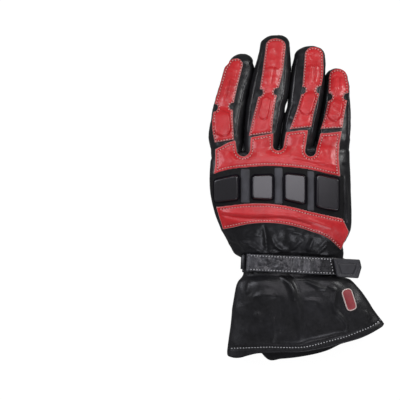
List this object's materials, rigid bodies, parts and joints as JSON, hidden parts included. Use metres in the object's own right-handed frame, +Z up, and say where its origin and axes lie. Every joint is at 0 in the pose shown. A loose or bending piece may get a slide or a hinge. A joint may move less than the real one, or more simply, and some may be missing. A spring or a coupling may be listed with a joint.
{
  "type": "motorcycle glove",
  "caption": "Right-hand gauntlet motorcycle glove in black and red leather, lying palm down, with moulded knuckle and finger pads, wrist strap and wide cuff.",
  "frame": {"origin": "on the ground that the glove lies on, under the middle of its bounding box", "axes": "+Z up, out of the back of the hand; +Y from the cuff to the fingertips; +X from the thumb's side to the little finger's side"},
  "size_m": [0.1612, 0.3, 0.0603],
  "materials": {
    "black_leather": "glossy coated cowhide, fine grain",
    "red_leather": "satin coated cowhide over thin foam",
    "pad_leather": "glossy black leather moulded over hard foam",
    "tab_rubber": "moulded matt rubber",
    "ring_plastic": "moulded black plastic",
    "patch_rubber": "moulded satin rubber"
  },
  "bodies": {
    "root": {"hand_shell": "black_leather", "cuff": "black_leather", "finger_index": "black_leather", "finger_middle": "black_leather", "finger_ring": "black_leather", "finger_little": "black_leather", "thumb": "black_leather", "finger_panel_1": "red_leather", "finger_panel_2": "red_leather", "finger_panel_3": "red_leather", "finger_panel_4": "red_leather", "knuckle_panel": "red_leather", "pad_band": "black_leather", "knuckle_pad_1": "pad_leather", "knuckle_pad_2": "pad_leather", "knuckle_pad_3": "pad_leather", "knuckle_pad_4": "pad_leather", "wrist_panel": "red_leather", "wrist_strap": "black_leather", "strap_ring": "ring_plastic", "ring_keeper": "black_leather", "strap_tab": "tab_rubber", "cuff_patch": "patch_rubber"}
  },
  "joints": []
}
